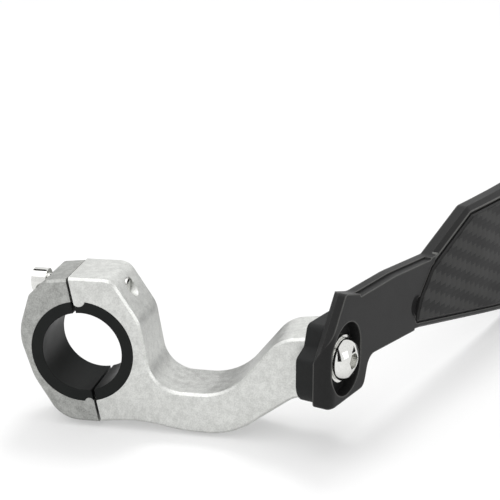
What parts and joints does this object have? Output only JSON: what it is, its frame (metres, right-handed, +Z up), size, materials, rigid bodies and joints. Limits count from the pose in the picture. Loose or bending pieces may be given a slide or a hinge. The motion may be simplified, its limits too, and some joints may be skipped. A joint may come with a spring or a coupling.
{
  "type": "motorcycle hand guard",
  "caption": "Motorcycle hand guard with a split bar clamp on an S-shaped arm, a bowed shield with a raised weave panel and an expanding bar-end fixing on a bent bracket.",
  "frame": {"origin": "on the axis of the clamp's bore, 7.5 mm behind the clamp's inner face", "axes": "+Y along the handlebar towards its end, +X forward to the shield, +Z up"},
  "size_m": [0.1542, 0.2695, 0.0768],
  "materials": {
    "cast_aluminium": "sand cast, tumbled matte",
    "stainless_steel": "polished",
    "bush_plastic": "matte",
    "spacer_plastic": "satin",
    "shield_plastic": "satin, weave relief on the panel",
    "bracket_aluminium": "satin",
    "turned_aluminium": "turned",
    "sleeve_rubber": "moulded"
  },
  "bodies": {
    "root": {"clamp_arm": "cast_aluminium", "clamp_cap": "cast_aluminium", "clamp_screw_upper": "stainless_steel", "clamp_screw_lower": "stainless_steel", "bush_half_arm": "bush_plastic", "bush_half_cap": "bush_plastic", "spacer_block": "spacer_plastic", "inner_screw": "stainless_steel", "inner_washer": "stainless_steel", "shield": "shield_plastic", "outer_screw": "stainless_steel", "outer_washer": "stainless_steel", "outer_nut": "stainless_steel", "end_bracket": "bracket_aluminium", "bar_end_screw": "stainless_steel", "bar_end_spacer": "turned_aluminium", "expander_sleeve": "sleeve_rubber", "expander_nut": "stainless_steel"}
  },
  "joints": []
}
